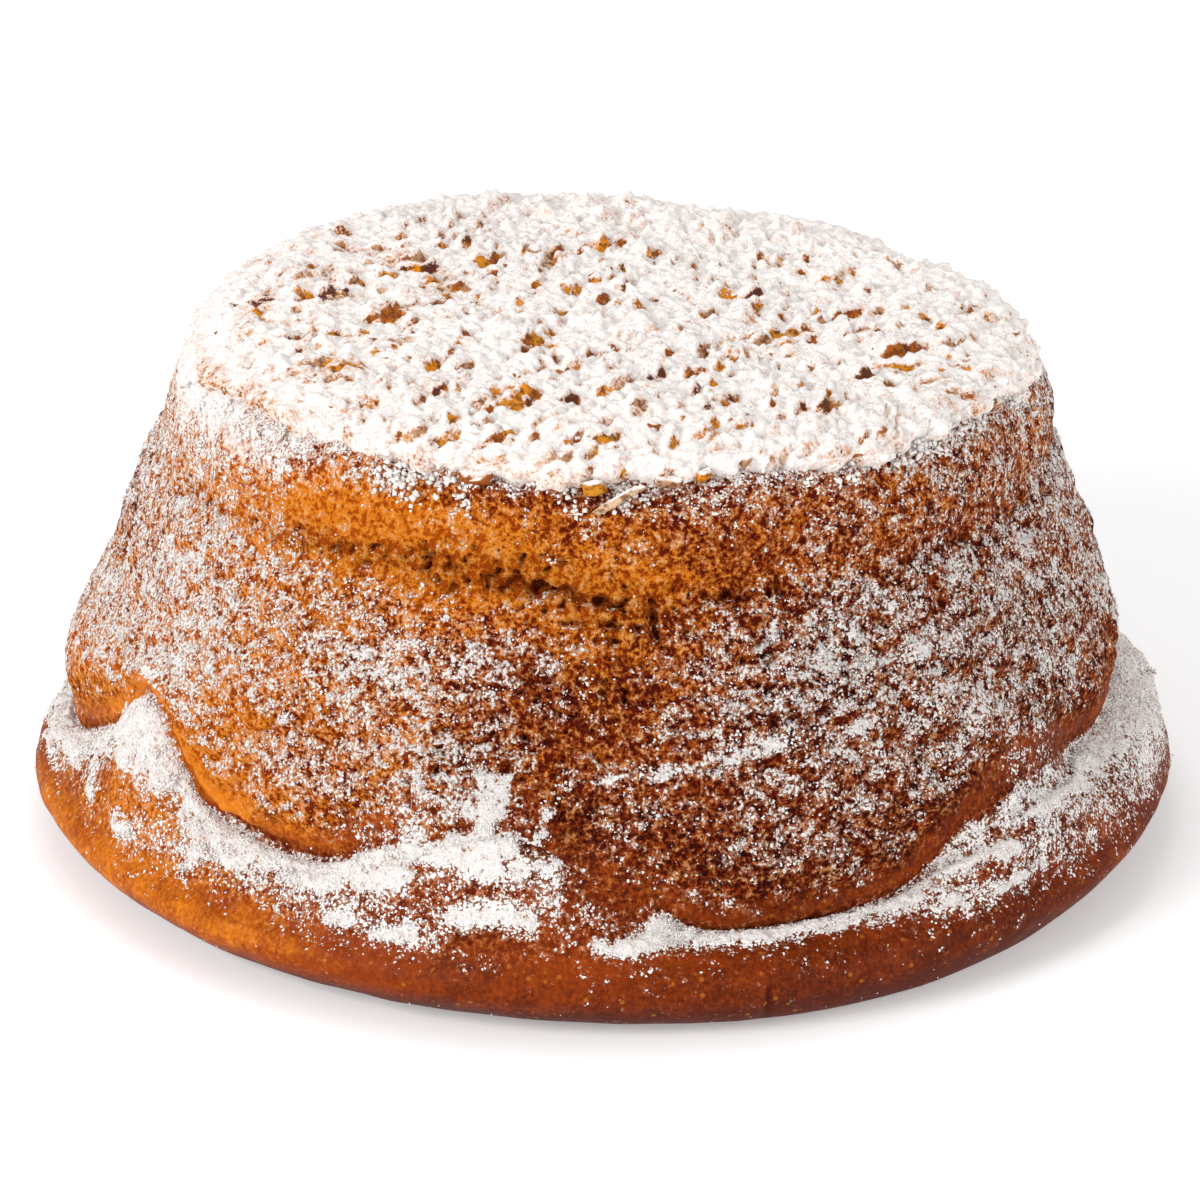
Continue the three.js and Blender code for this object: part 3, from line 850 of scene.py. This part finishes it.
def scatterOn(piece, chance, count, dice):  # spots and normals on a mesh, more where the chance is higher
    mesh = piece.data
    mesh.calc_loop_triangles()
    corners = np.empty(len(mesh.loop_triangles) * 3, dtype=np.int32)
    mesh.loop_triangles.foreach_get("vertices", corners)
    corners = corners.reshape(-1, 3)
    spots, normals = vertexSpots(piece), vertexNormals(piece)
    a, b, c = (spots[corners[:, k]] for k in range(3))
    area = np.linalg.norm(np.cross(b - a, c - a), axis=1) / 2
    weight = area * chance[corners].mean(1)
    pick = dice.choice(len(corners), count, p=weight / weight.sum())
    u, v = dice.random(count), dice.random(count)
    turn = u + v > 1
    u, v = np.where(turn, 1 - u, u)[:, None], np.where(turn, 1 - v, v)[:, None]
    found = a[pick] * (1 - u - v) + b[pick] * u + c[pick] * v
    return found, normals[corners[pick]].mean(1)


def scatteredMesh(name, centres, sizes, dice, material):
    count, corners = len(centres), len(octahedron)
    turns = randomTurns(count, 81)
    stretch = dice.uniform(0.6, 1.5, size=(count, corners, 1))
    spots = np.einsum("pk,nkj->npj", octahedron, turns) * stretch * sizes[:, None, None] + centres[:, None]
    faces = octahedronFaces[None] + (np.arange(count) * corners)[:, None, None]
    newPiece(name, spots.reshape(-1, 3), faces.reshape(-1, 3), material)
    print(name, len(faces) * len(octahedronFaces))


def makeGrains(material, crust, values):
    look = grainLook
    dice = np.random.default_rng(91)
    spots = vertexSpots(crust)
    height = spots[:, 2]
    dust = np.clip(values["dust"], 0, 1.1)
    hiddenTop = between(height, 104, 102)
    flock = between(noise(spots, 3.2, 92) + 0.6 * noise(spots, 9, 93), 0.05, 0.6)
    angle = turnOf(spots)
    hiddenTop = hiddenTop * (1 - 0.75 * bell(angle, *look["calmWall"]) * between(height, 88, 95))
    chance = (dust ** 1.8 * (0.25 + flock) + 0.003) * hiddenTop
    specks, normals = scatterOn(crust, chance, look["specks"], dice)
    sizes = look["speck"][0] + (look["speck"][1] - look["speck"][0]) * dice.random(len(specks)) ** 2.2
    scatteredMesh("sugarSpecks", specks + normals * sizes[:, None] * 0.3, sizes, dice, material)
    hearts, normals = scatterOn(crust, dust ** 2.5 * flock * hiddenTop, look["clumps"], dice)
    clumpedMesh("sugarClumps", hearts, normals, look["grainsInClump"], look["grain"], dice, material)
    hem = look["hem"] + 1.6 * noise(spots * (1, 1, 0), 7, 94)
    chance = hump(height, hem, 1.5) * between(noise(spots * (1, 1, 0), 4, 95), -0.25, 0.4)
    chance = chance * (1 - 0.9 * bell(angle, *look["calmRim"])) * between(height, 94, 97)
    hearts, normals = scatterOn(crust, chance + 1e-6, look["rimCrumbs"], dice)
    clumpedMesh("rimCrumbs", hearts, normals, look["grainsInCrumb"], look["crumb"], dice, material)


def clumpedMesh(name, hearts, normals, grains, sizeRange, dice, material):  # each is a few grains together
    spread = dice.uniform(0.6, 2.0, size=len(hearts)) * sizeRange[1]
    centres, sizes = [], []
    for _ in range(grains):
        shift = dice.normal(size=hearts.shape) * spread[:, None]
        shift -= normals * np.sum(shift * normals, axis=1, keepdims=True) * 0.8
        size = dice.uniform(*sizeRange, size=len(hearts)) * (0.55 + 0.19 * spread / sizeRange[1])
        centres.append(hearts + shift + normals * size[:, None] * 0.35)
        sizes.append(size)
    scatteredMesh(name, np.concatenate(centres), np.concatenate(sizes), dice, material)


# Finishes

def newMaterial(name):
    m = bpy.data.materials.new(name)
    m.use_nodes = True
    m.node_tree.nodes.clear()
    return m


def addNode(m, kind, sockets=None, **settings):
    node = m.node_tree.nodes.new("ShaderNode" + kind)
    for key, value in settings.items():
        setattr(node, key, value)
    for key, value in (sockets or {}).items():
        if isinstance(value, bpy.types.NodeSocket):
            m.node_tree.links.new(value, node.inputs[key])
        else:
            node.inputs[key].default_value = value
    return node


def maths(m, operation, first, second=0.0, clamp=False):
    node = addNode(m, "Math", {0: first, 1: second}, operation=operation, use_clamp=clamp)
    return node.outputs[0]


def eased(m, value, low, high):
    node = addNode(m, "MapRange", {"Value": value, "From Min": low, "From Max": high},
                   interpolation_type="SMOOTHSTEP")
    return node.outputs[0]


def grit(m, size, detail=2.0, rough=0.5):  # noise of one size in millimetres, 0..1
    place = addNode(m, "TexCoord").outputs["Object"]
    settings = {"Vector": place, "Scale": 1000 / size, "Detail": detail, "Roughness": rough}
    return addNode(m, "TexNoise", settings).outputs[0]


def stored(m, name):
    return addNode(m, "Attribute", attribute_name=name).outputs["Fac"]


def mixed(m, amount, first, second, blend="MIX"):
    node = addNode(m, "Mix", data_type="RGBA", blend_type=blend)
    for key, value in ((0, amount), (6, first), (7, second)):
        if isinstance(value, bpy.types.NodeSocket):
            m.node_tree.links.new(value, node.inputs[key])
        else:
            node.inputs[key].default_value = value if key == 0 else (*value, 1)
    return node.outputs[2]


def finishMaterial(m, colour, roughness, look, height):
    bump = addNode(m, "Bump", {"Height": height, "Distance": look["bump"] * 0.001, "Strength": 1.0})
    shader = addNode(m, "BsdfPrincipled", {"Base Color": colour, "Roughness": roughness,
                                           "Specular IOR Level": look["specular"], "Normal": bump.outputs[0]})
    addNode(m, "OutputMaterial", {"Surface": shader.outputs[0]})
    return shader


crustFinish = {
    # the pit colours and the hollow colour darken the bump's pits and the crust's creases as painted shade;
    # the crest colour is a painted highlight on the bump's crests; shade is painted shade in the sugar's low
    # spots
    "golden": (0.70, 0.200, 0.009), "brown": (0.275, 0.042, 0.003), "dark": (0.082, 0.010, 0.002),
    "pit": (0.34, 0.12, 0.06), "lightPitShade": (0.58, 0.33, 0.15), "crest": (0.86, 0.42, 0.14),
    "hollow": (0.36, 0.15, 0.07), "blister": (0.50, 0.165, 0.018), "film": (0.84, 0.46, 0.26),
    "veil": (0.93, 0.84, 0.78), "dimFilm": (0.56, 0.28, 0.17), "sugar": (0.96, 0.91, 0.88),
    "shade": (0.76, 0.60, 0.52), "bump": 1.45, "specular": 0.07, "dull": 0.78, "speck": 0.68, "clot": 1.35,
    "blisterSize": 2.4,
    # mottle, fleck, coarse, grain and flock: size in millimetres, detail, roughness
    "grits": [(2.8, 2, 0.6), (0.6, 2, 0.55), (2, 2, 0.55), (0.95, 3, 0.65), (5.5, 2, 0.5)],
}


def around(m, value, middle, factor):  # how far a value lies from a middle, times a factor
    return times(m, less(m, value, middle), factor)


def joined(m, operation, values):
    total = values[0]
    for value in values[1:]:
        total = maths(m, operation, total, value)
    return total


def added(m, *values):
    return joined(m, "ADD", values)


def times(m, *values):
    return joined(m, "MULTIPLY", values)


def largest(m, *values):
    return joined(m, "MAXIMUM", values)


def less(m, first, second):
    return maths(m, "SUBTRACT", first, second)


def dotted(m, size, share, inner, outer, bend):  # round specks of one size, with the share that lies there
    place = addNode(m, "TexCoord").outputs["Object"]
    drift = addNode(m, "TexNoise", {"Vector": place, "Scale": 1400 / size, "Detail": 1.0}).outputs["Color"]
    drift = addNode(m, "VectorMath", {0: drift, 1: (0.5, 0.5, 0.5)}, operation="SUBTRACT").outputs[0]
    drift = addNode(m, "VectorMath", {0: drift, "Scale": bend * size * 0.001}, operation="SCALE").outputs[0]
    place = addNode(m, "VectorMath", {0: place, 1: drift}).outputs[0]
    dots = addNode(m, "TexVoronoi", {"Vector": place, "Scale": 1000 / size})
    number = addNode(m, "SeparateXYZ", {0: dots.outputs["Color"]}).outputs[0]
    there = eased(m, less(m, share, number), 0.0, 0.12)
    return times(m, there, eased(m, dots.outputs["Distance"], outer, inner))


def crustMaterial():
    look = crustFinish
    m = newMaterial("bakedCrust")
    names = ("dust", "bakedAndShaded", "hollow", "skin", "torn", "veil")
    dust, bakedAndShaded, hollow, skin, torn, veil = (stored(m, name) for name in names)
    thick = eased(m, dust, 0.9, 1.15)
    rough = largest(m, less(m, 1.0, skin), thick)
    mottle, fleck, coarse, grain, flock = (grit(m, *kind) for kind in look["grits"])
    bumpy = added(m, grain, around(m, coarse, 0.5, 0.8))
    darkerCrust = eased(m, bakedAndShaded, 0.15, 0.55)
    spotty = added(m, times(m, rough, 0.55), 0.45)
    # tone: the stored darkness (baking, and painted light and shade), random mottle and fleck, and a grain
    # term that lightens the bump's high spots and darkens its low spots as painted light and shade
    spots = added(m, around(m, mottle, 0.5, 0.7), around(m, grain, 0.5, -1.3), around(m, fleck, 0.5, -0.5))
    tone = added(m, bakedAndShaded, times(m, spots, spotty))
    colour = mixed(m, eased(m, tone, 0.10, 0.62), look["golden"], look["brown"])
    colour = mixed(m, eased(m, tone, 0.55, 1.05), colour, look["dark"])
    # painted shade: the bump's pits darkened, less in the golden crust
    pit = eased(m, less(m, bumpy, times(m, torn, 0.07)), 0.50, 0.36)
    pit = times(m, pit, added(m, times(m, rough, 0.9), 0.1))
    colour = mixed(m, pit, colour, mixed(m, darkerCrust, look["lightPitShade"], look["pit"]), "MULTIPLY")
    # painted highlight on the bump's crests
    crest = times(m, eased(m, added(m, bumpy, around(m, fleck, 0.5, 0.5)), 0.54, 0.70), rough)
    colour = mixed(m, times(m, crest, 0.45), colour, look["crest"])
    # painted shade in the creases, pits, tears and cuts, and along the wall's foot
    colour = mixed(m, times(m, hollow, 0.9), colour, look["hollow"], "MULTIPLY")
    blister = dotted(m, look["blisterSize"], eased(m, grit(m, 5, 2), 0.42, 0.6), 0.12, 0.26, 0.0)
    blister = times(m, blister, skin)
    colour = mixed(m, times(m, blister, 0.5), colour, look["blister"])
    # a thin film first, then single specks, small clots, and a closed cover where there is most
    flock = times(m, around(m, flock, 0.5, 0.9), added(m, times(m, darkerCrust, 0.6), 0.4))
    lying = added(m, dust, flock, around(m, coarse, 0.5, 1.0))
    film = added(m, around(m, grain, 0.5, 1.6), around(m, lying, 0.5, 0.6))
    film = times(m, eased(m, film, -0.12, 0.26), added(m, times(m, rough, 0.50), 0.12),
                 eased(m, lying, 0.0, 0.25))
    colour = mixed(m, film, colour, mixed(m, eased(m, tone, 0.3, 0.8), look["film"], look["dimFilm"]))
    veiled = eased(m, added(m, veil, around(m, grain, 0.5, 1.3), around(m, coarse, 0.5, 0.8)), 0.22, 0.95)
    colour = mixed(m, times(m, veiled, 0.92), colour, look["veil"])
    speck = dotted(m, look["speck"], around(m, lying, 0.10, 0.85), 0.38, 0.50, 1.2)
    tiny = added(m, times(m, fleck, 0.6), times(m, grain, 0.4), around(m, lying, 0.5, 0.26))
    speck = largest(m, speck, eased(m, tiny, 0.565, 0.605))
    clot = dotted(m, look["clot"], around(m, lying, 0.30, 1.1), 0.38, 0.46, 1.6)
    sheet = eased(m, added(m, lying, around(m, grain, 0.5, 1.8)), 0.98, 1.06)
    cover = largest(m, speck, clot, sheet)
    # painted shade in the low spots of thick sugar
    clodAndShade = times(m, eased(m, bumpy, 0.46, 0.28), thick, 0.75)
    colour = mixed(m, cover, colour, mixed(m, clodAndShade, look["sugar"], look["shade"]))
    dull = less(m, look["dull"], times(m, skin, 0.28))
    dull = maths(m, "ADD", dull, times(m, cover, 0.4), True)
    height = times(m, bumpy, added(m, times(m, rough, 0.90), 0.10), added(m, times(m, torn, 0.9), 1.0))
    loose = less(m, 1.0, thick)
    height = added(m, height, times(m, speck, loose, 0.16), times(m, clot, loose, 0.34))
    height = times(m, height, less(m, 1.0, times(m, veil, 0.65)))
    finishMaterial(m, colour, dull, look, height)
    return m


sugarFinish = {
    "white": (0.96, 0.91, 0.88), "shade": (0.84, 0.66, 0.57), "film": (0.70, 0.42, 0.29),
    "char": (0.15, 0.040, 0.010), "bump": 0.55, "specular": 0.1, "dull": 0.92,
}


def powderNodes(m):  # the powder's colour, with painted shade in its low spots, and its relief
    clodAndShade = added(m, grit(m, 1.5, 3, 0.65), around(m, grit(m, 0.5, 2, 0.6), 0.5, 0.5))
    # painted shade: the powder's low spots take the shade colour
    colour = mixed(m, eased(m, clodAndShade, 0.47, 0.27), sugarFinish["white"], sugarFinish["shade"])
    return colour, clodAndShade


def sugarMaterial():
    m = newMaterial("icingSugar")
    colour, height = powderNodes(m)
    finishMaterial(m, colour, sugarFinish["dull"], sugarFinish, height)
    return m


def showingBits(m, bare, low, high):  # powder, with the bits of nut showing where it didn't catch
    look = sugarFinish
    colour, height = powderNodes(m)
    edge = added(m, bare, around(m, grit(m, 0.7, 3, 0.65), 0.5, 1.5), around(m, grit(m, 2.4, 2), 0.5, 0.8))
    # a tan film of thin powder round the bare bits; lying in the crumb's hollows, it also stands in for their
    # shade as painted shade
    colour = mixed(m, times(m, eased(m, edge, low - 0.36, low + 0.05), 0.75), colour, look["film"])
    show = eased(m, edge, low, high)
    tint = addNode(m, "Attribute", attribute_name="bitTint").outputs["Color"]
    tint = mixed(m, times(m, eased(m, grit(m, 1.3, 3, 0.6), 0.56, 0.36), 0.85), tint, look["char"])
    colour = mixed(m, show, colour, tint)
    rough = less(m, look["dull"], times(m, show, 0.42))
    finishMaterial(m, colour, rough, look, height)
    return m


def crumbMaterial():
    m = newMaterial("sugaredCrumb")
    return showingBits(m, stored(m, "bare"), 0.50, 0.66)


def nutMaterial():
    m = newMaterial("choppedNuts")
    normal = addNode(m, "NewGeometry").outputs["Normal"]
    upward = addNode(m, "SeparateXYZ", {0: normal}).outputs["Z"]
    bare = eased(m, upward, 0.80, 0.10)
    return showingBits(m, bare, 0.42, 0.62)


# The cake is put together

crust, crustNumbers = makeCrust(crustMaterial())
print("crust made")
makeNuts(nutMaterial(), *makeCrumb(crumbMaterial()))
print("top made")
makeGrains(sugarMaterial(), crust, crustNumbers)
print("sugar scattered")


# Floor, light and camera

stageLook = {
    "floor": (0.90, 0.90, 0.90), "floorSide": 8.0, "cloud": 900, "dull": 0.9, "specular": 0.5,
    "bump": 0.01,
    "glow": 0.28, "world": 0.52, "aimHeight": 0.05,
    "lights": {  # place, size, power
        "windowLight": ((-1.05, -0.86, 0.78), 0.6, 14.6),
        "topLight": ((-0.2, 0.6, 1.5), 0.9, 4.0),
        "fillLight": ((1.4, -1.0, 0.6), 1.2, 11.6),
    },
}
cameraLook = {
    "lens": 146.1, "sensor": 36.0, "distance": 1.0, "elevation": 22.5, "aim": (-0.0012, 0.0, 0.0429),
}


def makeFloor():
    look = stageLook
    mesh = bpy.data.meshes.new("studioFloor")
    side = look["floorSide"]
    corners = [(-side, -side, 0), (side, -side, 0), (side, side, 0), (-side, side, 0)]
    mesh.from_pydata(corners, [], [(0, 1, 2, 3)])
    floor = bpy.data.objects.new("studioFloor", mesh)
    bpy.context.scene.collection.objects.link(floor)
    m = newMaterial("paleFloor")
    cloud = eased(m, grit(m, look["cloud"], 1), 0.3, 0.7)
    colour = mixed(m, cloud, look["floor"], tuple(c * 0.99 for c in look["floor"]))
    shader = finishMaterial(m, colour, look["dull"], look, cloud)
    shader.inputs["Emission Color"].default_value = (1, 1, 1, 1)
    shader.inputs["Emission Strength"].default_value = look["glow"]
    mesh.materials.append(m)


def makeLight(name, at, size, power):
    lamp = bpy.data.lights.new(name, "AREA")
    lamp.size = size
    lamp.energy = power
    holder = bpy.data.objects.new(name, lamp)
    bpy.context.scene.collection.objects.link(holder)
    holder.location = at
    aim = -holder.location
    aim.z += stageLook["aimHeight"]
    holder.rotation_euler = aim.to_track_quat("-Z", "Y").to_euler()


def makeWorld():
    world = bpy.data.worlds.new("studioWhite")
    bpy.context.scene.world = world
    world.use_nodes = True
    background = world.node_tree.nodes["Background"]
    background.inputs[0].default_value = (1, 1, 1, 1)
    background.inputs[1].default_value = stageLook["world"]
    bpy.context.scene.view_settings.view_transform = "Standard"
    bpy.context.scene.cycles.diffuse_bounces = 2  # light that bounced more often adds nothing that shows


def makeCamera():
    look = cameraLook
    camera = bpy.data.cameras.new("photoView")
    camera.lens, camera.sensor_width = look["lens"], look["sensor"]
    holder = bpy.data.objects.new("photoView", camera)
    bpy.context.scene.collection.objects.link(holder)
    rise = math.radians(look["elevation"])
    aim = np.array(look["aim"]) + cakeShift * 0.001 * (1, 1, 0)
    holder.location = aim + look["distance"] * np.array([0, -math.cos(rise), math.sin(rise)])
    holder.rotation_euler = (math.pi / 2 - rise, 0, 0)
    bpy.context.scene.camera = holder


makeFloor()
for name, light in stageLook["lights"].items():
    makeLight(name, *light)
makeWorld()
makeCamera()
print("stage set")
